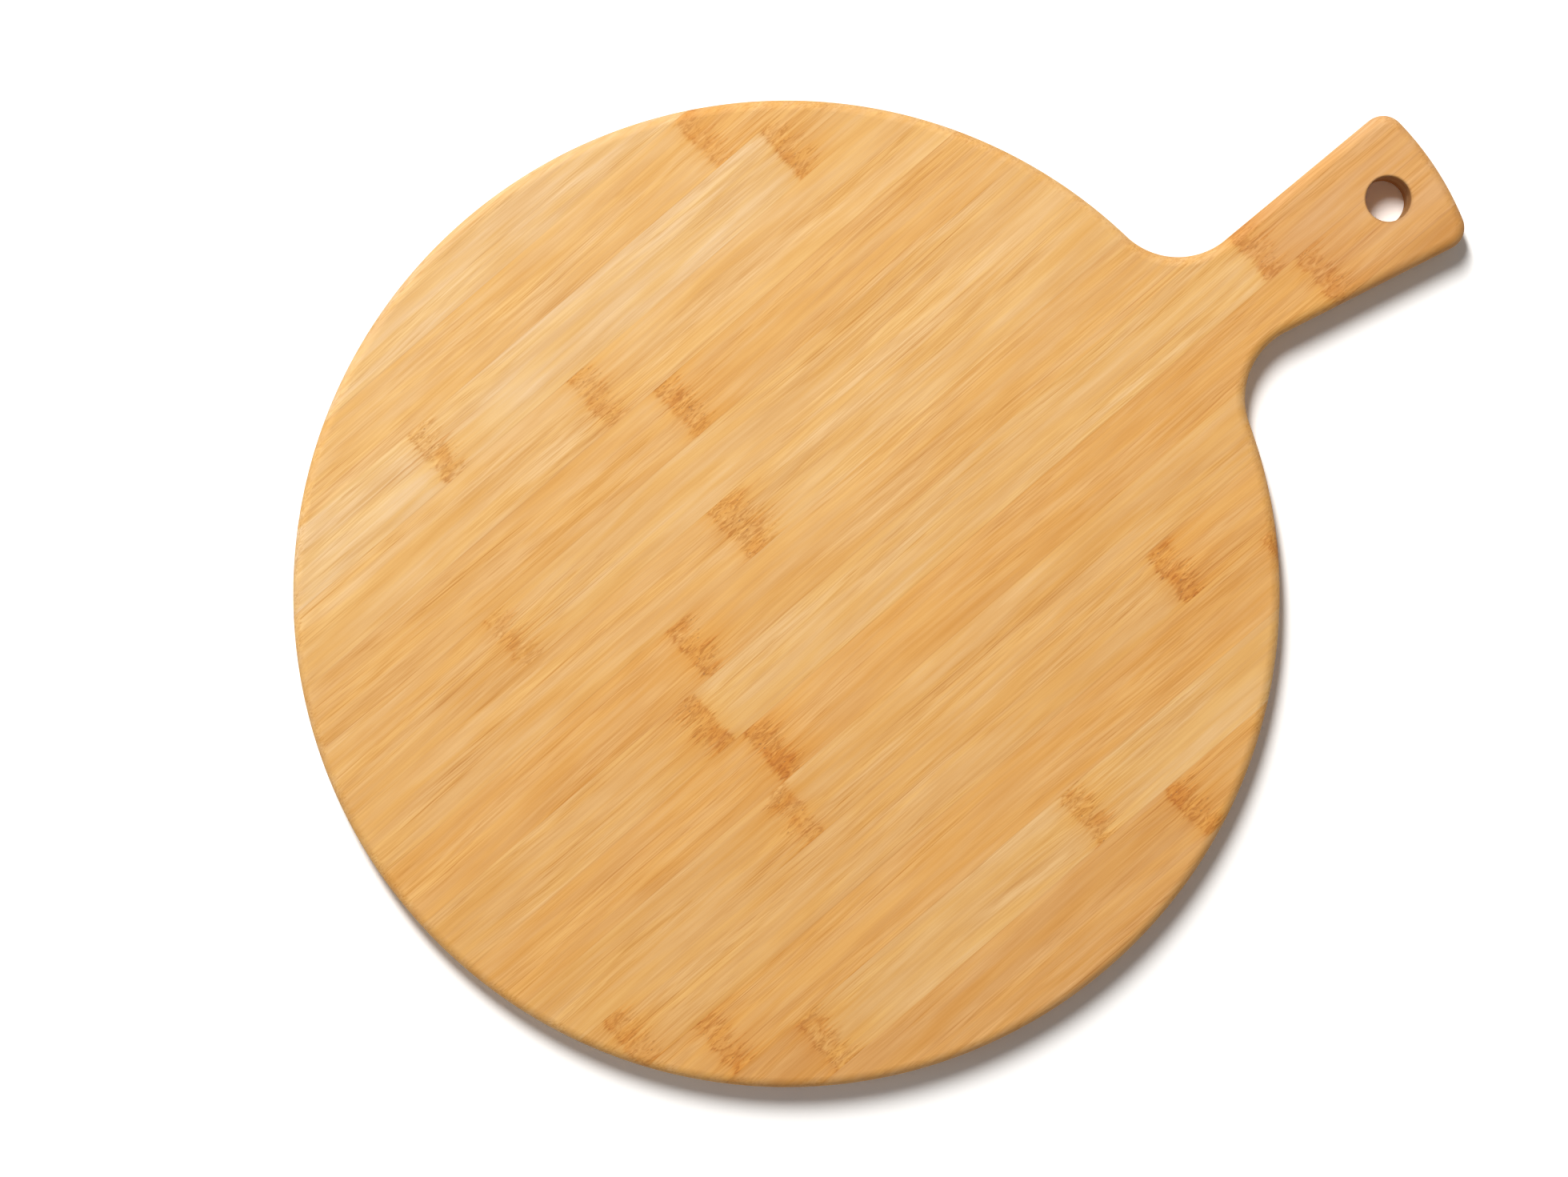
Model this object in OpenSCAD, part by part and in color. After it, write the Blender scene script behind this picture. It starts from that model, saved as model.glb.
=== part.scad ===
// Round pizza serving board with a short flared handle and a hanging hole.
// It is a three-ply bamboo panel. Flat strips glued edge to edge make each ply,
// and the core ply runs across the two outer plies. The board is sawn from that panel
// and rounded over, so each strip below is what the saw and the router leave of it.
// The origin is on the underside at the disc's centre. +X runs along the handle, +Z is up.

/* [Disc] */
// Diameter of the round part
disc_d = 305; // [240:1:400]
// Radius rounded over on the rim, above and below
edge_r = 3.5; // [2:0.1:5]

/* [Handle] */
// Distance from the disc's centre to the handle's tip
handle_reach = 240; // [215:1:320]
// Width between the handle's sides, measured at its tip
handle_end_w = 49; // [40:0.5:70]
// Angle at which each side of the handle opens towards the tip
handle_flare = 6.4; // [3:0.1:7.5]
// Radius of the hollow between the disc and the handle
neck_r = 23; // [12:0.5:40]
// Radius of the handle's two outer corners
corner_r = 7; // [5.5:0.5:12]
// Radius of the bowed end of the handle
end_arc_r = 94; // [60:1:200]

/* [Hanging hole] */
// Diameter of the hole
hole_d = 14; // [8:0.5:20]
// Distance from the handle's tip to the hole's centre
hole_inset = 18; // [16:0.5:30]
// Width of the eased edge round the hole
hole_ease = 0.6; // [0.2:0.1:1.5]

/* [Plies] */
// Thickness of the top ply and of the bottom ply
outer_ply_t = 5; // [5:0.5:8]
// Thickness of the core ply
core_ply_t = 5; // [3:0.5:10]

/* [Strips] */
// Width of a bamboo strip
strip_w = 19.6; // [16.5:0.1:24]
// Angle from the handle's line to the outer strips
strip_skew = 7.4; // [0:0.1:12]
// Distance from the disc's centre to the first glue line of the top ply
top_glue_line = -4.2; // [-9:0.1:9]
// Distance from the disc's centre to the first glue line of the bottom ply
bottom_glue_line = 3.2; // [-9:0.1:9]
// Distance from the disc's centre to the first glue line of the core ply
core_glue_line = 4.2; // [-9:0.1:9]

/* [Hidden] */
$fn = 180;
overrun = 1;
// Neighbouring pieces of the plan run into each other by this much, so that no film is left between them.
lap = 0.00000005;
disc_r = disc_d / 2;
board_t = 2 * outer_ply_t + core_ply_t;
core_skew = strip_skew - 90;

// Handle sides: half the width is side_start + side_slope * x.
side_slope = tan(handle_flare);
side_start = handle_end_w / 2 - handle_reach * side_slope;
function root_of(a, b, c) = (-b + sqrt(b * b - a * c)) / a;
function flipped(point) = [point.x, -point.y];

// Neck hollow: its circle touches the disc from outside, and the handle's side.
neck_offset = side_start + neck_r / cos(handle_flare);
neck_x = root_of(1 + side_slope ^ 2, neck_offset * side_slope, neck_offset ^ 2 - (disc_r + neck_r) ^ 2);
neck_y = neck_offset + side_slope * neck_x;
neck_centre = [neck_x, neck_y];
rim_point = neck_centre * disc_r / (disc_r + neck_r);
side_start_point = neck_centre + neck_r * [sin(handle_flare), -cos(handle_flare)];

// Corner: its circle touches the bowed end and the handle's side from inside.
end_arc_x = handle_reach - end_arc_r;
corner_offset = side_start - corner_r / cos(handle_flare);
corner_x = root_of(
    1 + side_slope ^ 2,
    corner_offset * side_slope - end_arc_x,
    end_arc_x ^ 2 + corner_offset ^ 2 - (end_arc_r - corner_r) ^ 2
);
corner_y = corner_offset + side_slope * corner_x;
corner_centre = [corner_x, corner_y];
corner_angle = atan2(corner_y, corner_x - end_arc_x);
side_length = (corner_centre - neck_centre) * [cos(handle_flare), sin(handle_flare)];

hole_r = hole_d / 2;
hole_x = handle_reach - hole_inset;

// A point's distance across strips that run at the skew angle.
function across(point, skew) = point.y * cos(skew) - point.x * sin(skew);

// Reach of the handle's outer end across the strips, to each side. A corner is the furthest,
// except across the core's strips, where the bowed end can be.
function corners_across(skew) = [for (centre = [corner_centre, flipped(corner_centre)]) across(centre, skew)];
function end_down(skew) = min(corners_across(skew)) - corner_r;
function end_up(skew) = abs(skew + 90) < corner_angle
    ? across([end_arc_x, 0], skew) + end_arc_r
    : max(corners_across(skew)) + corner_r;

// The first and last strip of a ply, counted from its first glue line.
function first_strip(glue_line, skew) = floor((min(-disc_r, end_down(skew)) - glue_line) / strip_w);
function last_strip(glue_line, skew) = ceil((max(disc_r, end_up(skew)) - glue_line) / strip_w) - 1;
function strip_count(glue_line, skew) = last_strip(glue_line, skew) - first_strip(glue_line, skew) + 1;

// Does a strip reach past the disc, into the neck or the handle?
function in_range(low, down, up) = low < up && low + strip_w > down;
function leaves_disc(low, skew) = in_range(
    low,
    min(end_down(skew), across(rim_point, skew), across(flipped(rim_point), skew)),
    max(end_up(skew), across(rim_point, skew), across(flipped(rim_point), skew))
);

// An outer strip beside the neck is sawn in two: the long piece, and a short one on the flared handle.
function in_neck(low) = in_range(
    low,
    across(flipped(side_start_point), strip_skew),
    across(side_start_point, strip_skew)
);
function has_offcut(low) = !in_neck(low) && in_range(low, end_down(strip_skew), end_up(strip_skew));
function offcuts(glue_line) = [
    for (i = [first_strip(glue_line, strip_skew) : last_strip(glue_line, strip_skew)])
        if (has_offcut(glue_line + i * strip_w)) glue_line + i * strip_w
];

function numbered(name, number) = str(name, number < 10 ? "_0" : "_", number);
function strip_names(name, count) = [for (number = [1 : count]) numbered(name, number)];
top_count = strip_count(top_glue_line, strip_skew);
core_count = strip_count(core_glue_line, core_skew);
bottom_count = strip_count(bottom_glue_line, strip_skew);

// Tones of sanded bamboo, taken in turn along a ply.
bamboo_tones = ["#ecba78", "#e6ad67", "#f0c386", "#e2a862", "#eab673"];
function tone(number) = bamboo_tones[(number * 3) % len(bamboo_tones)];

// What the round-over takes off a square edge at the origin. The wood is above it, on the +x side.
module round_over() {
    difference() {
        translate([-overrun, -overrun]) square(edge_r + overrun);
        translate([edge_r, edge_r]) circle(edge_r);
    }
}

// Section of what is sawn and rounded off beyond an edge at x = 0, with the wood on the +x side.
module waste_section(width) {
    translate([-width, -overrun]) square([width, board_t + 2 * overrun]);
    round_over();
}

// A round piece of the board with its lower edge rounded over, turned through an angle.
module turned(radius, angle) {
    rotate_extrude(angle = angle) difference() {
        square([radius, board_t]);
        translate([radius, 0]) mirror([1, 0]) waste_section(overrun);
    }
}

// A plan shape cut right through the board.
module through() {
    translate([0, 0, -overrun]) linear_extrude(board_t + 2 * overrun) children();
}

// One piece or place on each side of the handle's line.
module both_sides() {
    children();
    mirror([0, 1, 0]) children();
}

// The handle's curves are placed one from the next, so that they meet without a step.
// At the centre of the neck's hollow, with x along the handle's side.
module at_neck() {
    translate(neck_centre) rotate(handle_flare) children();
}

// At the corner's centre, with x along the handle's side.
module at_corner() {
    at_neck() translate([side_length, -neck_r - corner_r]) children();
}

// At the corner's centre, with x away from the centre of the bowed end.
module across_corner() {
    at_corner() rotate(corner_angle - handle_flare) children();
}

// The half of the plan on the +x side of a start, or on the -x side of the origin.
module ahead(start = 0) {
    through() translate([start, -disc_d]) square([disc_d, 2 * disc_d]);
}

module behind() {
    mirror([1, 0, 0]) ahead();
}

// The plan from the disc's centre to the handle, between the lines to the hollows' centres.
module neck_plan() {
    polygon([
        [0, 0],
        flipped(neck_centre),
        [handle_reach, -neck_y],
        [handle_reach, neck_y],
        neck_centre
    ]);
}

module neck() {
    difference() {
        linear_extrude(board_t) neck_plan();
        both_sides() at_neck() {
            ahead();
            rotate_extrude() {
                translate([0, -overrun]) square([neck_r, board_t + 2 * overrun]);
                translate([neck_r, 0]) round_over();
            }
        }
    }
}

// What the neck takes the place of in its neighbours.
module neck_room() {
    difference() {
        through() neck_plan();
        both_sides() at_neck() ahead(-lap);
    }
}

// The straight sides reach from the neck to the lines through the corners' centres.
module sides() {
    difference() {
        translate([neck_x, -neck_y]) linear_extrude(board_t) square([handle_reach - neck_x, 2 * neck_y]);
        neck_room();
        both_sides() {
            at_corner() ahead(lap);
            at_neck() translate([side_length + overrun, -neck_r]) rotate([90, 0, -90])
                linear_extrude(handle_reach) waste_section(handle_end_w + neck_r);
        }
    }
}

module corner() {
    difference() {
        across_corner() translate([0, -lap]) turned(corner_r, 180);
        at_corner() behind();
    }
}

// Half of the bowed end. Its arc passes into the corner's.
module half_end() {
    intersection() {
        across_corner() translate([corner_r - end_arc_r, 0]) mirror([0, 1, 0]) turned(end_arc_r, 180);
        through() translate([0, -lap]) square([2 * handle_reach, disc_d]);
    }
}

// The hanging hole, with its lower edge eased.
module hanging_hole() {
    translate([hole_x, 0, -overrun]) cylinder(board_t + 2 * overrun, hole_r, hole_r);
    translate([hole_x, 0, -overrun]) cylinder(hole_ease + overrun, hole_r + hole_ease + overrun, hole_r);
}

// The whole board with its lower edges rounded over: the disc, its neck, and the handle with its
// corners and bowed end. Its upper face is the same, turned over.
module board() {
    difference() {
        turned(disc_r, 360);
        neck_room();
    }
    neck();
    sides();
    both_sides() {
        corner();
        half_end();
    }
}

// One strip of the board, from its lower glue line and from a level up to a height above it.
module strip(low, skew, level, height) {
    reach = disc_r + handle_reach;
    difference() {
        intersection() {
            if (leaves_disc(low, skew)) board();
            else turned(disc_r, 360);
            translate([0, 0, level]) linear_extrude(height) rotate(skew) translate([-reach, low])
                square([2 * reach, strip_w]);
        }
        if (leaves_disc(low, skew)) hanging_hole();
    }
}

// Where the neck cuts an outer strip in two, this is the piece on the handle or the one on the disc.
module sawn_off(on_handle) {
    if (on_handle)
        intersection() {
            children();
            through() handle_side();
        }
    else
        difference() {
            children();
            through() handle_side();
        }
}

module handle_side() {
    translate([side_start_point.x, -disc_r]) square([handle_reach, disc_d]);
}

module top_strip(low) {
    translate([0, 0, board_t]) mirror([0, 0, 1]) bottom_strip(low);
}

module core_strip(low) {
    strip(low, core_skew, outer_ply_t, core_ply_t);
}

module bottom_strip(low) {
    strip(low, strip_skew, -overrun, outer_ply_t + overrun);
}

function low_of(number, glue_line, skew) = glue_line + (first_strip(glue_line, skew) + number - 1) * strip_w;

for (number = [1 : top_count])
    union() {
        low = low_of(number, top_glue_line, strip_skew);
        color(tone(number))
            if (has_offcut(low)) sawn_off(false) top_strip(low);
            else top_strip(low);
    }
for (low = offcuts(top_glue_line)) color(tone(0)) sawn_off(true) top_strip(low);  // top_handle_edge
for (number = [1 : core_count])
    color(tone(number)) core_strip(low_of(number, core_glue_line, core_skew));
for (number = [1 : bottom_count])
    union() {
        low = low_of(number, bottom_glue_line, strip_skew);
        color(tone(number))
            if (has_offcut(low)) sawn_off(false) bottom_strip(low);
            else bottom_strip(low);
    }
for (low = offcuts(bottom_glue_line)) color(tone(0)) sawn_off(true) bottom_strip(low);  // bottom_handle_edge
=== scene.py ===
"""Looks of a round bamboo pizza serving board with a short flared handle, seen from above."""

import math
import random

import bmesh
import bpy
from mathutils import Matrix, Vector


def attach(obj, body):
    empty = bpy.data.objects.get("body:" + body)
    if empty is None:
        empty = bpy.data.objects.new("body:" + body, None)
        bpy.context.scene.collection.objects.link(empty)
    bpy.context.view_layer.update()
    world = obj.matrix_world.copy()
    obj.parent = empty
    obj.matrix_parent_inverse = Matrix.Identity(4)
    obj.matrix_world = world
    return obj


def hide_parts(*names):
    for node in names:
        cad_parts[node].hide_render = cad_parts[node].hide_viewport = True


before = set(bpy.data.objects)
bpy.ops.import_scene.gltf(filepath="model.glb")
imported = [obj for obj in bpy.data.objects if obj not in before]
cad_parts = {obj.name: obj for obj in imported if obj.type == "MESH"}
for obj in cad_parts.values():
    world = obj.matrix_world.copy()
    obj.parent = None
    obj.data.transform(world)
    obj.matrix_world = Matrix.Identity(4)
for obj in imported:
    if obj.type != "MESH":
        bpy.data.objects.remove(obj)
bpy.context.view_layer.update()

# Lengths are in millimetres until a mesh is made, and angles in degrees. The light is in metres.
MM = 0.001
DISC_R = 152.5
EDGE_R = 3.5
HANDLE_REACH = 240.0
HANDLE_END_W = 49.0
HANDLE_FLARE = 6.4
NECK_R = 23.0
CORNER_R = 7.0
END_ARC_R = 94.0
HOLE_X = 222.0
HOLE_R = 7.0
HOLE_EASE = 0.6
PLY_T = 5.0
BOARD_T = 15.0
STRIP_W = 19.6

# Each ply: its name, its lower and upper height, the lower glue line of its first strip (measured
# across the strips from the disc's centre), the grain's angle to the handle and the strips' number.
PLIES = (
    ("top", 2 * PLY_T, BOARD_T, -161.0, 7.4, 16),
    ("core", PLY_T, 2 * PLY_T, -152.6, -82.6, 20),
    ("bottom", 0.0, PLY_T, -153.6, 7.4, 16),
)
# The neck cuts this top strip in two: the long part on the disc and the top_handle_edge.
CUT_STRIP = 6

# Points along the outline's curves, and rows over a quarter of a rounded edge.
END_STEPS = 14
CORNER_STEPS = 24
SIDE_STEPS = 16
NECK_STEPS = 44
DISC_STEPS = 240
HOLE_STEPS = 96
RIM_ROWS = 10
EASE_ROWS = 4
SAME_HEIGHT = 1e-6
SAW_SNAP = 1e-5

# The camera looks straight down, with the handle turned this far up from the picture's horizontal.
HANDLE_TURN = 33.27
PICTURE_W = 1960.0
PICTURE_H = 1471.0
MM_PER_PIXEL = 0.24662
DISC_PIXEL = (983.1, 742.2)
CAMERA_HEIGHT = 1180.0
SENSOR_W = 36.0

# Each lamp: its name, its bearing in the picture (turned from the right towards the top), its
# elevation, its width and length, and its watts.
LAMPS = (
    ("softbox", 110.5, 56.0, 0.35, 1.1, 56.0),
    ("reflector", 190.0, 20.0, 0.9, 0.9, 5.0),
)
LAMP_DISTANCE = 2.4
LAMP_COLOUR = (1.0, 0.985, 0.96)
WHITE = (1.0, 1.0, 1.0, 1.0)
FILL_STRENGTH = 0.147

# The floor lights the board as a pale grey card does. The camera sees it brighter, and pure white
# far from the board, as in the photograph.
FLOOR_HALF = 3.0
FLOOR_CARD = (0.86, 0.86, 0.86, 1.0)
FLOOR_SEEN = (1.28, 1.28, 1.28, 1.0)
FLOOR_NEAR = 0.4
FLOOR_FAR = 0.9


def polar(radius, angle):
    turn = math.radians(angle)
    return Vector((radius * math.cos(turn), radius * math.sin(turn)))


class Graph:
    """Short calls for making nodes in a node tree."""

    def __init__(self, tree):
        self.tree = tree

    def node(self, kind, inputs=None, **settings):
        node = self.tree.nodes.new(kind)
        for name, value in settings.items():
            setattr(node, name, value)
        for name, value in (inputs or {}).items():
            self.put(node.inputs[name], value)
        return node

    def put(self, socket, value):
        if isinstance(value, bpy.types.NodeSocket):
            self.tree.links.new(value, socket)
        else:
            socket.default_value = value

    def maths(self, operation, *values):
        node = self.node("ShaderNodeMath", operation=operation)
        for socket, value in zip(node.inputs, values):
            self.put(socket, value)
        return node.outputs[0]

    def add(self, a, b):
        return self.maths("ADD", a, b)

    def sub(self, a, b):
        return self.maths("SUBTRACT", a, b)

    def mul(self, a, b):
        return self.maths("MULTIPLY", a, b)

    def size_of(self, a):
        return self.maths("ABSOLUTE", a)

    def vector(self, x, y, z):
        return self.node("ShaderNodeCombineXYZ", {"X": x, "Y": y, "Z": z}).outputs[0]

    def parts(self, vector):
        return self.node("ShaderNodeSeparateXYZ", {0: vector}).outputs

    def turned(self, vector, angle):
        return self.node(
            "ShaderNodeVectorRotate", {"Vector": vector, "Angle": angle}, rotation_type="Z_AXIS"
        ).outputs[0]

    def stretched(self, place, along, across, shift=0.0):
        """A point of the wood, scaled along the grain and across it."""
        s, v, z = place
        aside = self.add(v, shift) if shift else v
        return self.vector(self.mul(s, along), self.mul(aside, across), self.mul(z, across))

    def step(self, value, low, high, out_low=0.0, out_high=1.0):
        node = self.node("ShaderNodeMapRange", interpolation_type="SMOOTHSTEP")
        for name, number in (("Value", value), ("From Min", low), ("From Max", high),
                             ("To Min", out_low), ("To Max", out_high)):
            self.put(node.inputs[name], number)
        return node.outputs[0]

    def fall(self, value, low, high):
        """A step down: one up to low, and zero from high on."""
        return self.step(value, low, high, 1.0, 0.0)

    def noise(self, vector, detail=2.0, roughness=0.5, distortion=0.0):
        inputs = {"Vector": vector, "Scale": 1.0, "Detail": detail, "Roughness": roughness}
        inputs["Distortion"] = distortion
        return self.node("ShaderNodeTexNoise", inputs).outputs["Fac"]

    def swing(self, vector):
        """Noise about zero."""
        return self.sub(self.noise(vector, 1.0), 0.5)

    def cells(self, vector):
        return self.node("ShaderNodeTexVoronoi", {"Vector": vector, "Scale": 1.0}).outputs

    def mix(self, factor, a, b, blend="MIX"):
        node = self.node("ShaderNodeMix", data_type="RGBA", blend_type=blend)
        self.put(node.inputs[0], factor)
        self.put(node.inputs[6], a)
        self.put(node.inputs[7], b)
        return node.outputs[2]

    def stain(self, base, factor, tint):
        """Multiplies a colour by one of the TINTS."""
        return self.mix(factor, base, TINTS[tint] + (1.0,), "MULTIPLY")

    def shade(self, base, value, low, high, dark, pale):
        """Multiplies a colour by a tint between dark, where the value is low, and pale."""
        tint = self.mix(self.step(value, low, high), dark + (1.0,), pale + (1.0,))
        return self.mix(1.0, base, tint, "MULTIPLY")

    def mix_shaders(self, factor, a, b):
        inputs = {0: factor, 1: a.outputs[0], 2: b.outputs[0]}
        return self.node("ShaderNodeMixShader", inputs)


# ---------------------------------------------------------------- camera, light and floor

def make_camera():
    across = polar(1.0, -HANDLE_TURN)
    up = polar(1.0, 90.0 - HANDLE_TURN)
    right_of_middle = (DISC_PIXEL[0] - PICTURE_W / 2) * MM_PER_PIXEL
    above_middle = (PICTURE_H / 2 - DISC_PIXEL[1]) * MM_PER_PIXEL
    place = -(across * right_of_middle + up * above_middle)
    data = bpy.data.cameras.new("camera")
    data.sensor_width = SENSOR_W
    data.lens = SENSOR_W * CAMERA_HEIGHT / (PICTURE_W * MM_PER_PIXEL)
    camera = bpy.data.objects.new("camera", data)
    camera.location = (place.x * MM, place.y * MM, (BOARD_T + CAMERA_HEIGHT) * MM)
    camera.rotation_euler = (0.0, 0.0, -math.radians(HANDLE_TURN))
    bpy.context.scene.collection.objects.link(camera)
    bpy.context.scene.camera = camera


def make_lamp(name, bearing, elevation, width, length, energy):
    """A soft lamp aimed at the middle of the disc."""
    rise = math.radians(elevation)
    level = polar(LAMP_DISTANCE * math.cos(rise), bearing - HANDLE_TURN)
    data = bpy.data.lights.new(name, "AREA")
    data.shape = "ELLIPSE"
    data.size = width
    data.size_y = length
    data.energy = energy
    data.color = LAMP_COLOUR
    lamp = bpy.data.objects.new(name, data)
    lamp.location = (level.x, level.y, LAMP_DISTANCE * math.sin(rise))
    lamp.rotation_euler = Vector(lamp.location).to_track_quat("Z", "Y").to_euler()
    bpy.context.scene.collection.objects.link(lamp)


def make_world():
    """A weak even fill for the board and the floor, and a white backdrop wherever it shows."""
    world = bpy.data.worlds.new("studio")
    bpy.context.scene.world = world
    world.use_nodes = True
    world.node_tree.nodes.clear()
    g = Graph(world.node_tree)
    path = g.node("ShaderNodeLightPath").outputs
    seen = g.maths("MAXIMUM", path["Is Camera Ray"], path["Is Glossy Ray"])
    seen = g.maths("MAXIMUM", seen, path["Is Transmission Ray"])
    fill = g.node("ShaderNodeBackground", {"Color": WHITE, "Strength": FILL_STRENGTH})
    backdrop = g.node("ShaderNodeBackground", {"Color": WHITE, "Strength": 1.0})
    both = g.mix_shaders(seen, fill, backdrop)
    g.node("ShaderNodeOutputWorld", {"Surface": both.outputs[0]})


def make_floor():
    sides = ((-1, -1), (1, -1), (1, 1), (-1, 1))
    corners = [(FLOOR_HALF * x, FLOOR_HALF * y, 0.0) for x, y in sides]
    mesh = bpy.data.meshes.new("floor")
    mesh.from_pydata(corners, [], [(0, 1, 2, 3)])
    floor = bpy.data.objects.new("floor", mesh)
    bpy.context.scene.collection.objects.link(floor)
    material = bpy.data.materials.new("floor")
    material.use_nodes = True
    material.node_tree.nodes.clear()
    g = Graph(material.node_tree)
    path = g.node("ShaderNodeLightPath").outputs
    spot = g.node("ShaderNodeTexCoord").outputs["Object"]
    away = g.node("ShaderNodeVectorMath", {0: spot}, operation="LENGTH").outputs["Value"]
    card = g.node("ShaderNodeBsdfDiffuse", {"Color": FLOOR_CARD})
    bright = g.node("ShaderNodeBsdfDiffuse", {"Color": FLOOR_SEEN})
    white = g.node("ShaderNodeEmission", {"Color": WHITE, "Strength": 1.0})
    seen = g.mix_shaders(g.step(away, FLOOR_NEAR, FLOOR_FAR), bright, white)
    both = g.mix_shaders(path["Is Camera Ray"], card, seen)
    g.node("ShaderNodeOutputMaterial", {"Surface": both.outputs[0]})
    mesh.materials.append(material)


# ---------------------------------------------------------------- bamboo

def colour(code):
    """A colour written as six hexadecimal digits, in linear light."""
    shares = [int(code[i:i + 2], 16) / 255.0 for i in (0, 2, 4)]
    return tuple(
        share / 12.92 if share <= 0.04045 else ((share + 0.055) / 1.055) ** 2.4 for share in shares
    ) + (1.0,)


TONES = {
    "cream": colour("eec387"),
    "straw": colour("ebb974"),
    "honey": colour("e8b26a"),
    "amber": colour("e7ad62"),
    "sand": colour("e3ab6a"),
    "copper": colour("e2a861"),
    "russet": colour("dfa258"),
    # umber is used only on the handle's lower edge, where it is partly painted shade.
    "umber": colour("d69a54"),
}

# Layers of noise in the wood: scale per millimetre along the grain and across it, shift across it,
# and the noise's detail and roughness.
GRAIN = {
    "broad": (0.0045, 0.13, 0.0, 2.0, 0.5),
    "cloud": (0.04, 0.22, 0.0, 2.0, 0.5),
    "blush": (0.025, 0.32, 59.0, 2.0, 0.5),
    "bands": (0.018, 0.62, 0.0, 2.0, 0.6),
    "threads": (0.065, 2.1, 0.0, 1.0, 0.5),
    "lines": (0.010, 1.7, 91.0, 1.0, 0.5),
    "dashes": (0.09, 2.8, 23.0, 0.0, 0.5),
}

# How a layer shades the wood: where it counts as low and high, and the tints there.
SHADES = {
    "broad": (0.3, 0.7, (0.97, 0.95, 0.91), (1.03, 1.05, 1.08)),
    "cloud": (0.3, 0.7, (0.965, 0.93, 0.86), (1.02, 1.05, 1.12)),
    "blush": (0.35, 0.65, (1.01, 0.985, 0.89), (0.995, 1.01, 1.12)),
    "bands": (0.32, 0.68, (0.965, 0.935, 0.88), (1.025, 1.045, 1.08)),
    "threads": (0.36, 0.64, (0.94, 0.90, 0.83), (1.045, 1.075, 1.13)),
}

TINTS = {
    "dark line": (0.80, 0.66, 0.50),
    "pale line": (1.07, 1.13, 1.22),
    "dash": (0.82, 0.70, 0.54),
    "glow": (0.985, 0.91, 0.74),
    "core": (0.96, 0.88, 0.74),
    "core patch": (0.93, 0.82, 0.65),
    "core dash": (0.79, 0.70, 0.58),
    "core gap": (1.10, 1.19, 1.36),
    "border": (0.80, 0.66, 0.50),
    "strip glue": (0.66, 0.50, 0.36),
    # A pale sheen painted on the tilted rim, in place of its reflection.
    "painted rim sheen": (0.97, 0.99, 1.06),
    "pore": (0.68, 0.52, 0.38),
    "end grain": (0.90, 0.83, 0.74),
    "ply glue": (0.62, 0.46, 0.32),
    # Makes the wall of the hole darker and greyer.
    "hole_wall_darkening": (0.48, 0.46, 0.52),
}
SPECK_COLOUR = (0.36, 0.17, 0.055, 1.0)

# A knuckle along the grain: how far its line waves, how far its fibres comb out at both ends, and
# where its core and its glow come up and die away, counted from its line.
KNUCKLE_WAVE = 4.0
START_COMB = 5.0
END_COMB = 16.0
CORE_START = (-1.8, 0.9)
CORE_END = (4.0, 10.0)
GLOW_START = (-7.0, 1.0)
GLOW_END = (5.0, 26.0)

# How far the noise moves along, across and up for each unit of a strip's seed, and across for each
# of its knuckles.
SEED_SHIFT = (613.0, 271.0, 53.0)
KNUCKLE_SHIFT = 37.0

IOR = 1.42
ROUGHNESS = 0.70
BUMP_STRENGTH = 0.3
BUMP_HEIGHT = 0.0001


def group_input(tree, kind, name, value):
    socket = tree.interface.new_socket(name, in_out="INPUT", socket_type=kind)
    socket.default_value = value


def make_sockets(tree, knuckles):
    for number in range(1, knuckles + 2):
        group_input(tree, "NodeSocketColor", "Tone %d" % number, TONES["honey"])
    names = ["Grain angle", "Low edge", "Seed"]
    for number in range(1, knuckles + 1):
        names += ["%s %d" % (name, number) for name in ("Knuckle", "Facing", "Strength", "Reach")]
    for name in names:
        group_input(tree, "NodeSocketFloat", name, 0.0)
    for name, kind in (("Colour", "Color"), ("Roughness", "Float"), ("Normal", "Vector")):
        tree.interface.new_socket(name, in_out="OUTPUT", socket_type="NodeSocket" + kind)


def knuckle(g, along, v, place, facing, strength, reach, seed):
    """The distance past a knuckle's line, and its masks: its core, its glow and its thin border."""
    wave = g.swing(g.vector(g.mul(seed, 3.1), g.mul(v, 0.15), 0.0))
    comb = g.swing(g.vector(g.mul(along, 0.05), g.mul(v, 1.4), seed))
    past = g.add(g.mul(g.sub(along, place), facing), g.mul(wave, KNUCKLE_WAVE))
    first = g.add(past, g.mul(comb, START_COMB))
    last = g.sub(past, g.mul(comb, END_COMB))
    core_end = g.fall(last, g.mul(reach, CORE_END[0]), g.mul(reach, CORE_END[1]))
    core = g.mul(g.step(first, *CORE_START), core_end)
    glow = g.mul(g.step(first, *GLOW_START), g.fall(last, *GLOW_END))
    border = g.mul(g.fall(g.size_of(g.sub(first, 0.3)), 0.1, 0.8), g.step(wave, -0.06, 0.05))
    return past, [g.mul(mask, strength) for mask in (core, glow, border)]


def bend_fibres(g, given, knuckles, along, wood):
    """How far the fibres swing aside on their way past the knuckles."""
    near = 0.0
    for number in range(1, knuckles + 1):
        away = g.size_of(g.sub(along, given["Knuckle %d" % number]))
        near = g.add(near, g.mul(g.fall(away, 3.0, 12.0), given["Strength %d" % number]))
    bend = g.sub(g.noise(g.stretched(wood, 0.12, 0.25)), 0.5)
    return g.mul(g.mul(bend, 1.6), near)


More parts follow.
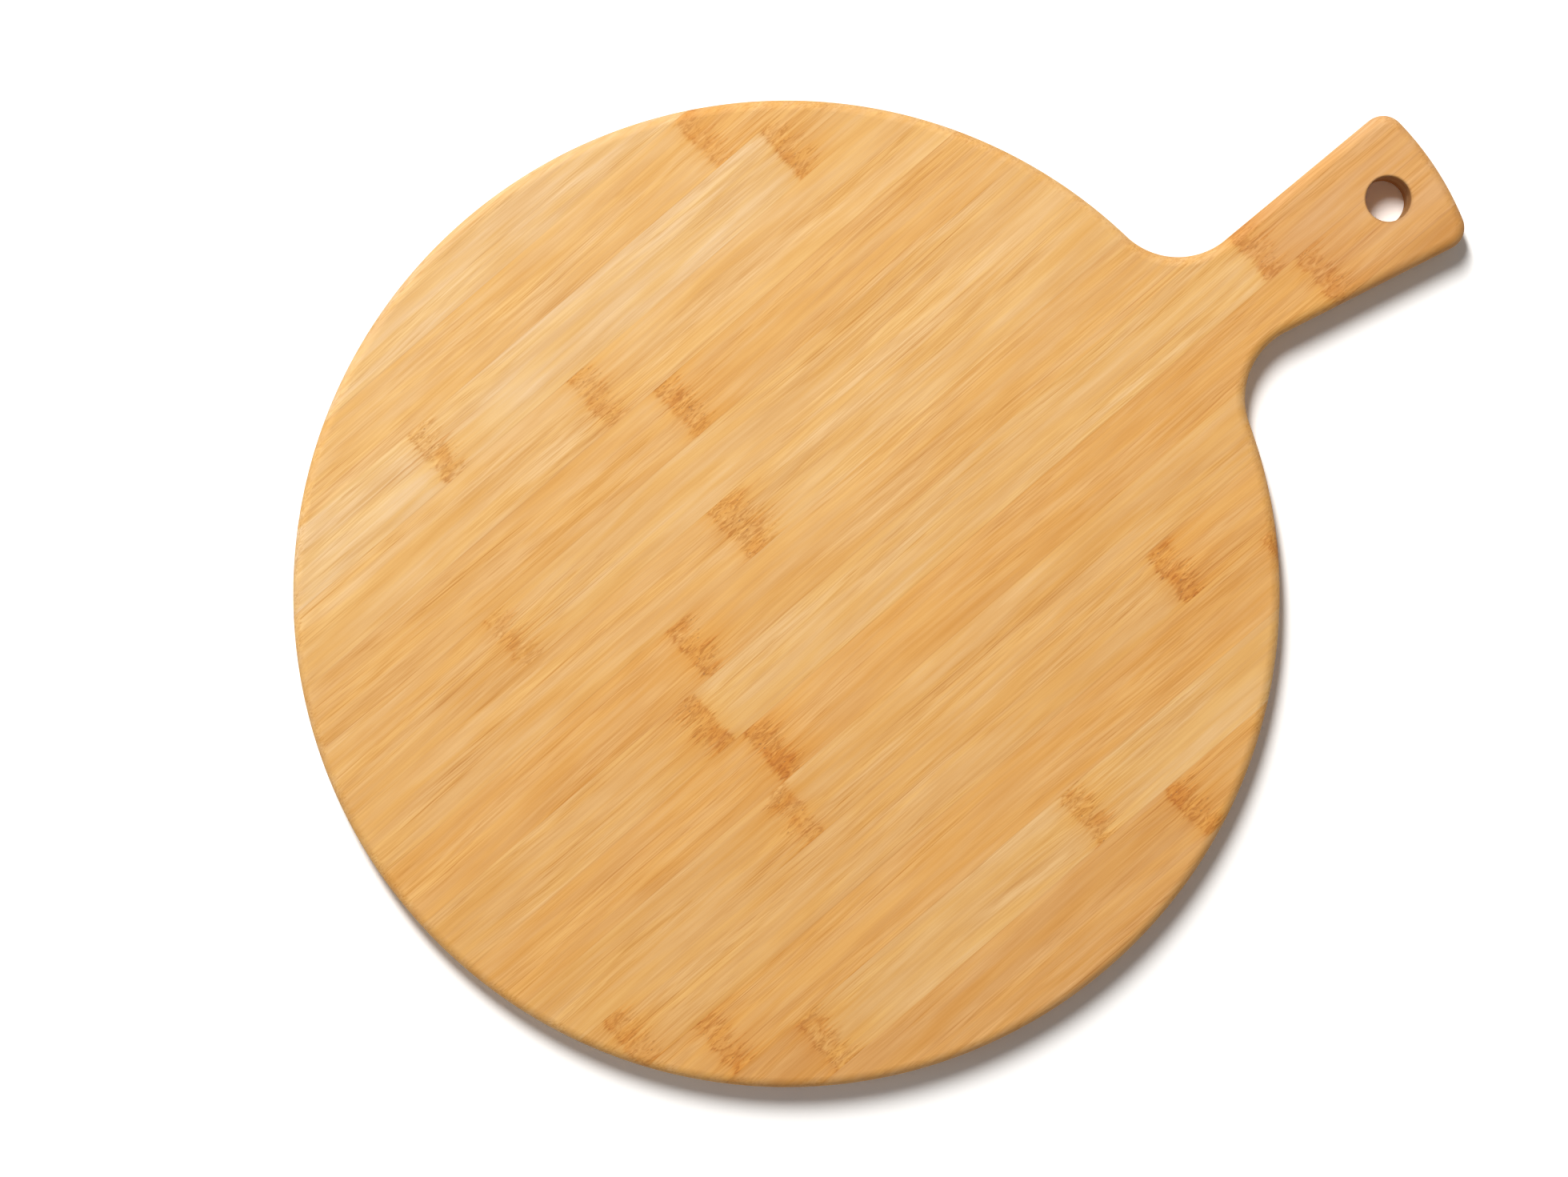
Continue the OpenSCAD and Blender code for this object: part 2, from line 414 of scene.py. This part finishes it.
def find_knuckles(g, given, knuckles, along, v0):
    """The wood's tone, which changes at each knuckle, and the masks of all the knuckles."""
    base = given["Tone 1"]
    masks = (0.0, 0.0, 0.0)
    for number in range(1, knuckles + 1):
        place, facing, strength, reach = (
            given["%s %d" % (name, number)] for name in ("Knuckle", "Facing", "Strength", "Reach")
        )
        v = g.add(v0, KNUCKLE_SHIFT * number)
        past, found = knuckle(g, along, v, place, facing, strength, reach, given["Seed"])
        next_tone = given["Tone %d" % (number + 1)]
        base = g.mix(g.step(g.mul(past, facing), -1.5, 1.5), base, next_tone)
        masks = [g.maths("MAXIMUM", a, b) for a, b in zip(masks, found)]
    return base, masks


def shade_grain(g, base, grain, s, v):
    """Pale and dark wood, from broad bands down to single threads, stronger in rich patches."""
    patches = g.noise(g.vector(g.mul(s, 0.012), g.mul(v, 0.10), 7.0), 1.0)
    rich = g.step(patches, 0.40, 0.60, 0.25, 1.0)
    for layer in ("broad", "cloud", "blush", "bands"):
        base = g.shade(base, grain[layer], *SHADES[layer])
    base = g.mix(rich, base, g.shade(base, grain["threads"], *SHADES["threads"]))
    lines, dashes = grain["lines"], grain["dashes"]
    base = g.stain(base, g.mul(g.step(lines, 0.65, 0.71), g.mul(rich, 0.65)), "dark line")
    base = g.stain(base, g.mul(g.fall(lines, 0.29, 0.35), g.mul(rich, 0.5)), "pale line")
    return g.stain(base, g.mul(g.step(dashes, 0.66, 0.74), g.mul(rich, 0.55)), "dash")


def mark_knuckles(g, base, core, glow, border, mottle, wood, v0):
    """A golden core full of short dashes, a glow past it, a thin border and a few specks."""
    patch = g.noise(g.vector(g.mul(wood[0], 0.10), g.mul(v0, 0.14), 4.0), 1.0)
    spots = g.cells(g.stretched(wood, 0.5, 0.8))
    chosen = g.node("ShaderNodeSeparateColor", {0: spots["Color"]}).outputs[0]
    speck = g.mul(g.fall(spots["Distance"], 0.12, 0.26), g.step(chosen, 0.74, 0.80))
    base = g.stain(base, glow, "glow")
    base = g.stain(base, core, "core")
    base = g.stain(base, g.mul(g.step(patch, 0.48, 0.64), core), "core patch")
    base = g.stain(base, g.mul(g.step(mottle, 0.49, 0.60), core), "core dash")
    base = g.stain(base, g.mul(g.fall(mottle, 0.32, 0.44), core), "core gap")
    base = g.stain(base, g.mul(border, 0.55), "border")
    return g.mix(g.mul(g.mul(speck, core), 0.6), base, SPECK_COLOUR)


def mark_glue(g, base, given, across, s):
    """Faint glue lines along both edges of the strip."""
    inside = g.sub(across, given["Low edge"])
    edge = g.maths("MINIMUM", inside, g.sub(STRIP_W, inside))
    faint = g.noise(g.vector(g.mul(s, 0.02), g.mul(given["Seed"], 9.0), 0.0))
    glue = g.mul(g.fall(edge, 0.03, 0.30), g.step(faint, 0.35, 0.7, 0.1, 0.75))
    return g.stain(base, g.mul(glue, 0.5), "strip glue")


def mark_rim(g, base, facing, height, wood):
    """The rounded rim: a painted pale sheen where the surface tilts from flat, end grain with a dot
    per bundle, and the plies' glue lines.
    """
    lean = g.parts(facing)
    upright = g.size_of(lean[2])
    cut = g.step(g.size_of(lean[0]), 0.10, 0.70)
    pore = g.mul(g.fall(g.cells(g.stretched(wood, 0.05, 1.25))["Distance"], 0.18, 0.42), cut)
    wall = g.fall(upright, 0.05, 0.45)
    seams = [g.size_of(g.sub(height, level)) for level in (PLY_T, 2 * PLY_T)]
    seam = g.fall(g.maths("MINIMUM", *seams), 0.05, 0.35)
    # Painted sheen: the wood turns paler and bluer as the rim tilts away from flat, in place of the
    # rim's reflection.
    base = g.stain(base, g.fall(upright, 0.2, 0.98), "painted rim sheen")
    base = g.stain(base, g.mul(pore, 0.35), "pore")
    base = g.stain(base, g.mul(wall, cut), "end grain")
    return g.stain(base, g.mul(g.mul(seam, wall), 0.7), "ply glue")


def darken_hole_wall(g, base, spot):
    """The wall and ease of the drilled hole are made darker and greyer."""
    x, y = g.sub(spot[0], HOLE_X), spot[1]
    from_hole = g.maths("SQRT", g.add(g.maths("POWER", x, 2.0), g.maths("POWER", y, 2.0)))
    hole_wall_darkening = g.step(from_hole, HOLE_R + 0.1, HOLE_R + HOLE_EASE + 0.3, 0.5, 0.0)
    return g.stain(base, hole_wall_darkening, "hole_wall_darkening")


def make_bamboo_group(knuckles):
    """The bamboo of a strip that shows this many knuckles."""
    tree = bpy.data.node_groups.new("bamboo_%d" % knuckles, "ShaderNodeTree")
    make_sockets(tree, knuckles)
    g = Graph(tree)
    given = g.node("NodeGroupInput").outputs
    coords = g.node("ShaderNodeTexCoord").outputs
    back = g.mul(given["Grain angle"], -1.0)
    in_mm = g.node(
        "ShaderNodeVectorMath", {0: coords["Object"], "Scale": 1.0 / MM}, operation="SCALE"
    ).outputs[0]
    along, across, height = g.parts(g.turned(in_mm, back))
    facing = g.turned(coords["Normal"], back)

    # Every strip is cut from another place in the cane, so its fibres have their own offset.
    s, v0, z = (
        g.add(length, g.mul(given["Seed"], shift))
        for length, shift in zip((along, across, height), SEED_SHIFT)
    )

    # Fibres drift a little over the strip, and bend on their way past a knuckle.
    drift = g.swing(g.vector(g.mul(s, 0.006), g.mul(v0, 0.03), 0.0))
    v = g.add(v0, g.mul(drift, 7.0))
    if knuckles:
        v = g.add(v, bend_fibres(g, given, knuckles, along, (s, v0, z)))
    wood = (s, v, z)
    grain = {
        layer: g.noise(g.stretched(wood, along_grain, across_grain, shift), detail, roughness)
        for layer, (along_grain, across_grain, shift, detail, roughness) in GRAIN.items()
    }

    base, (core, glow, border) = find_knuckles(g, given, knuckles, along, v0)
    base = shade_grain(g, base, grain, s, v)
    relief = g.sub(grain["threads"], g.mul(g.step(grain["lines"], 0.62, 0.72), 0.5))
    if knuckles:
        mottle = g.noise(g.stretched(wood, 0.30, 1.15), 2.0, 0.6, 0.9)
        base = mark_knuckles(g, base, core, glow, border, mottle, wood, v0)
        relief = g.add(relief, g.mul(g.mul(mottle, core), 5.0))
    base = mark_glue(g, base, given, across, s)
    base = mark_rim(g, base, facing, height, wood)
    base = darken_hole_wall(g, base, g.parts(in_mm))

    bump = g.node(
        "ShaderNodeBump", {"Strength": BUMP_STRENGTH, "Distance": BUMP_HEIGHT, "Height": relief}
    )
    rough = g.add(ROUGHNESS, g.mul(g.sub(grain["bands"], 0.5), -0.16))
    g.node("NodeGroupOutput", {"Colour": base, "Roughness": rough, "Normal": bump.outputs[0]})
    return tree


def make_bamboo(name, groups, tones, knuckles, angle, low, seed):
    """Material of one strip, whose tones and knuckles are written as in TOP_STRIPS."""
    material = bpy.data.materials.new(name)
    material.use_nodes = True
    material.node_tree.nodes.clear()
    g = Graph(material.node_tree)
    inputs = {"Grain angle": math.radians(angle), "Low edge": low, "Seed": seed}
    for number, tone in enumerate(tones, 1):
        inputs["Tone %d" % number] = TONES[tone]
    for number, (place, facing, strength, *reach) in enumerate(knuckles, 1):
        inputs["Knuckle %d" % number] = place
        inputs["Facing %d" % number] = facing
        inputs["Strength %d" % number] = strength
        inputs["Reach %d" % number] = reach[0] if reach else 1.0
    bamboo = g.node("ShaderNodeGroup", node_tree=groups[len(knuckles)])
    for key, value in inputs.items():
        bamboo.inputs[key].default_value = value
    looks = {"Base Color": bamboo.outputs["Colour"], "IOR": IOR}
    for key in ("Roughness", "Normal"):
        looks[key] = bamboo.outputs[key]
    surface = g.node("ShaderNodeBsdfPrincipled", looks)
    g.node("ShaderNodeOutputMaterial", {"Surface": surface.outputs[0]})
    return material


# ---------------------------------------------------------------- outline and plies

def larger_root(a, b, c):
    """The larger x of a x^2 + 2 b x + c = 0."""
    return (-b + math.sqrt(b * b - a * c)) / a


def arc(centre, radius, start, end, steps, sign=1.0):
    """Points of an arc with their outward normals, without the last point."""
    points = []
    for i in range(steps):
        direction = polar(1.0, start + (end - start) * i / steps)
        points.append((centre + direction * radius, direction * sign))
    return points


def board_outline():
    """The outline as (point, outward normal), and the x at which the handle's sides start."""
    slope = math.tan(math.radians(HANDLE_FLARE))
    start = HANDLE_END_W / 2 - HANDLE_REACH * slope
    secant = 1.0 / math.cos(math.radians(HANDLE_FLARE))
    neck_line = start + NECK_R * secant
    neck_x = larger_root(
        1 + slope**2, neck_line * slope, neck_line**2 - (DISC_R + NECK_R) ** 2
    )
    neck = Vector((neck_x, neck_line + slope * neck_x))
    end_x = HANDLE_REACH - END_ARC_R
    corner_line = start - CORNER_R * secant
    corner_x = larger_root(
        1 + slope**2,
        corner_line * slope - end_x,
        end_x**2 + corner_line**2 - (END_ARC_R - CORNER_R) ** 2,
    )
    corner = Vector((corner_x, corner_line + slope * corner_x))
    corner_angle = math.degrees(math.atan2(corner.y, corner.x - end_x))
    neck_angle = math.degrees(math.atan2(neck.y, neck.x))
    side_angle = HANDLE_FLARE + 90.0
    side_from = corner + polar(CORNER_R, side_angle)
    side_to = neck + polar(NECK_R, side_angle - 180.0)
    side = [side_from.lerp(side_to, i / SIDE_STEPS) for i in range(SIDE_STEPS)]
    upper = arc(Vector((end_x, 0.0)), END_ARC_R, 0.0, corner_angle, END_STEPS)
    upper += arc(corner, CORNER_R, corner_angle, side_angle, CORNER_STEPS)
    upper += [(point, polar(1.0, side_angle)) for point in side]
    upper += arc(neck, NECK_R, side_angle - 180.0, neck_angle - 180.0, NECK_STEPS, -1.0)
    upper += arc(Vector((0.0, 0.0)), DISC_R, neck_angle, 180.0, DISC_STEPS)
    lower = [(Vector((p.x, -p.y)), Vector((n.x, -n.y))) for p, n in reversed(upper[1:])]
    far_end = (Vector((-DISC_R, 0.0)), Vector((-1.0, 0.0)))
    return upper + [far_end] + lower, side_to.x


OUTLINE, SIDE_X = board_outline()


def edge_section(radius, steps, levels, low, high):
    """(inset, height, slant) rows of an edge rounded above and below, between two heights.

    The rows go upwards, and levels are heights on the flat wall between the roundings."""
    rows = []
    for i in range(-steps, steps + 1):
        turn = math.radians(90.0 * i / steps)
        middle = radius if i <= 0 else BOARD_T - radius
        rows.append((radius * (1.0 - math.cos(turn)), middle + radius * math.sin(turn), turn))
        if i == 0:
            rows += [(0.0, height, 0.0) for height in (*levels, BOARD_T - radius)]
    return [row for row in rows if low - SAME_HEIGHT <= row[1] <= high + SAME_HEIGHT]


def add_wall(ply, bend, path, rows, side):
    """The wall over an outline. Its side is 1 for the rim and -1 for the hole."""
    rings = []
    for inset, height, turn in rows:
        ring = []
        for point, normal in path:
            place = point - normal * (inset * side)
            vert = ply.verts.new((place.x, place.y, height))
            out = normal * (side * math.cos(turn))
            vert[bend] = (out.x, out.y, math.sin(turn))
            ring.append(vert)
        rings.append(ring)
    for below, above in zip(rings[:-1], rings[1:]):
        for i in range(len(below)):
            j = (i + 1) % len(below)
            corners = (below[i], below[j], above[j], above[i])
            ply.faces.new(corners if side > 0 else corners[::-1])


def make_ply(low, high):
    """One whole ply of the board, with its hanging hole, as a closed mesh.

    Its vertices carry the wall's smooth normal as bend, and its flat faces are marked as level."""
    ply = bmesh.new()
    bend = ply.verts.layers.float_vector.new("bend")
    level = ply.faces.layers.int.new("level")
    seams = (PLY_T, BOARD_T - PLY_T)
    rim = edge_section(EDGE_R, RIM_ROWS, (seams[0], BOARD_T / 2, seams[1]), low, high)
    ease = edge_section(HOLE_EASE, EASE_ROWS, seams, low, high)
    add_wall(ply, bend, OUTLINE, rim, 1.0)
    add_wall(ply, bend, arc(Vector((HOLE_X, 0.0)), HOLE_R, 0.0, 360.0, HOLE_STEPS), ease, -1.0)
    for height in (low, high):
        edges = [
            e for e in ply.edges
            if e.is_boundary and all(abs(vert.co.z - height) < SAME_HEIGHT for vert in e.verts)
        ]
        cap = bmesh.ops.triangle_fill(ply, edges=edges, use_beauty=True, use_dissolve=False)
        for face in cap["geom"]:
            if isinstance(face, bmesh.types.BMFace):
                face[level] = 1
    bmesh.ops.recalc_face_normals(ply, faces=ply.faces)
    return ply


def islands(mesh):
    """Yields the vertices of each part of a mesh that hangs together."""
    left = set(mesh.verts)
    while left:
        found, queue = set(), [left.pop()]
        while queue:
            vert = queue.pop()
            found.add(vert)
            for edge in vert.link_edges:
                other = edge.other_vert(vert)
                if other in left:
                    left.discard(other)
                    queue.append(other)
        yield found


def saw_strip(ply, low, angle, on_handle=None):
    """What a ply keeps between two glue lines. on_handle picks a side where the neck cuts it."""
    strip = ply.copy()
    level = strip.faces.layers.int["level"]
    normal = Vector((-math.sin(math.radians(angle)), math.cos(math.radians(angle)), 0.0))
    for line, way in ((low, -1.0), (low + STRIP_W, 1.0)):
        cut = bmesh.ops.bisect_plane(
            strip, geom=strip.verts[:] + strip.edges[:] + strip.faces[:], dist=SAW_SNAP,
            plane_co=normal * line, plane_no=normal * way, clear_outer=True,
        )
        edges = [e for e in cut["geom_cut"] if isinstance(e, bmesh.types.BMEdge) and e.is_boundary]
        if edges:
            for face in bmesh.ops.edgeloop_fill(strip, edges=edges)["faces"]:
                face[level] = 1
    if on_handle is not None:
        gone = []
        for island in islands(strip):
            middle_x = sum(vert.co.x for vert in island) / len(island)
            if (middle_x > SIDE_X) != on_handle:
                gone += island
        bmesh.ops.delete(strip, geom=gone, context="VERTS")
    bmesh.ops.recalc_face_normals(strip, faces=strip.faces)
    return strip


def make_strip(name, strip, material):
    """Turns a sawn strip into an object that stands for the CAD node of the same name."""
    bend = strip.verts.layers.float_vector["bend"]
    level = strip.faces.layers.int["level"]
    normals = []
    for face in strip.faces:
        face.smooth = True
        for corner in face.loops:
            normal = face.normal if face[level] else corner.vert[bend].normalized()
            normals.append(tuple(normal))
    bmesh.ops.transform(strip, matrix=Matrix.Scale(MM, 4), verts=strip.verts)
    mesh = bpy.data.meshes.new(name)
    strip.to_mesh(mesh)
    strip.free()
    mesh.normals_split_custom_set(normals)
    for layer in ("bend", "level"):
        mesh.attributes.remove(mesh.attributes[layer])
    mesh.materials.append(material)
    piece = bpy.data.objects.new(name + "_wood", mesh)
    bpy.context.scene.collection.objects.link(piece)
    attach(piece, "root")
    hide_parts(name)


# ---------------------------------------------------------------- strips

# Top strips: tones from the far end to the handle's end, and the knuckles where they change, as
# (millimetres along the grain from the disc's centre, the way it faces, strength), and for a long
# knuckle also how many times as far it reaches.
TOP_STRIPS = {
    1: (("copper",), ()),
    2: (("copper", "amber"), ((49.3, 1, 0.9),)),
    3: (("russet", "straw", "straw"), ((-83.4, 1, 0.9), (23.0, 1, 0.9))),
    4: (("amber", "amber", "amber"), ((-108.0, 1, 0.9), (122.5, 1, 0.9))),
    5: (("honey", "honey", "amber"), ((-128.7, 1, 0.8), (92.0, 1, 1.0))),
    6: (("honey", "honey"), ((-39.0, -1, 0.8),)),
    7: (("amber", "amber", "sand"), ((-37.7, 1, 1.0), (187.0, 1, 0.8))),
    8: (("honey", "straw", "sand"), ((-42.0, -1, 0.9), (175.6, 1, 0.8))),
    9: (("amber", "honey"), ((-35.0, 1, 1.0),)),
    10: (("honey", "straw"), ((-1.5, 1, 0.95, 1.6),)),
    11: (("honey", "straw"), ((-76.0, 1, 0.65),)),
    12: (("honey", "honey"), ((10.4, 1, 1.0),)),
    13: (("straw", "straw"), ((-8.0, 1, 0.75),)),
    14: (("cream", "cream", "straw"), ((-56.5, 1, 0.85), (87.0, 1, 0.8))),
    15: (("straw", "honey"), ((69.0, 1, 0.7),)),
    16: (("cream",), ()),
}
MOST_KNUCKLES = 2

# Strips that the photograph doesn't show get common tones, and one knuckle within this reach of the
# middle.
HIDDEN_TONES = ("straw", "honey", "honey", "amber")
HIDDEN_REACH = 110.0
CHOOSER_SEED = 19
GRAIN_SEEDS = (1.0, 9.0)


def hidden_strip(chooser):
    """Tones and knuckles of a strip that the photograph doesn't show."""
    tones = [chooser.choice(HIDDEN_TONES) for _ in range(2)]
    place = chooser.uniform(-HIDDEN_REACH, HIDDEN_REACH)
    return tones, ((place, chooser.choice((-1, 1)), chooser.uniform(0.6, 1.0)),)


def make_board():
    groups = [make_bamboo_group(knuckles) for knuckles in range(MOST_KNUCKLES + 1)]
    chooser = random.Random(CHOOSER_SEED)
    for ply_name, low, high, first, angle, count in PLIES:
        ply = make_ply(low, high)
        for number in range(1, count + 1):
            edge = first + (number - 1) * STRIP_W
            name = "%s_strip_%02d" % (ply_name, number)
            on_top = ply_name == "top"
            tones, knuckles = TOP_STRIPS[number] if on_top else hidden_strip(chooser)
            seed = chooser.uniform(*GRAIN_SEEDS)
            cut_in_two = on_top and number == CUT_STRIP
            material = make_bamboo(name, groups, tones, knuckles, angle, edge, seed)
            sawn = saw_strip(ply, edge, angle, False if cut_in_two else None)
            make_strip(name, sawn, material)
            if cut_in_two:
                name = "top_handle_edge"
                # The sliver along the handle's lower edge gets the dark umber tone. It is partly
                # its own darker wood and partly painted shade of that rim, which turns away from
                # the lamp.
                material = make_bamboo(name, groups, ("umber",), (), angle, edge, seed + 0.5)
                make_strip(name, saw_strip(ply, edge, angle, True), material)
        ply.free()


bpy.context.scene.view_settings.view_transform = "Standard"
make_camera()
for lamp in LAMPS:
    make_lamp(*lamp)
make_world()
make_floor()
make_board()
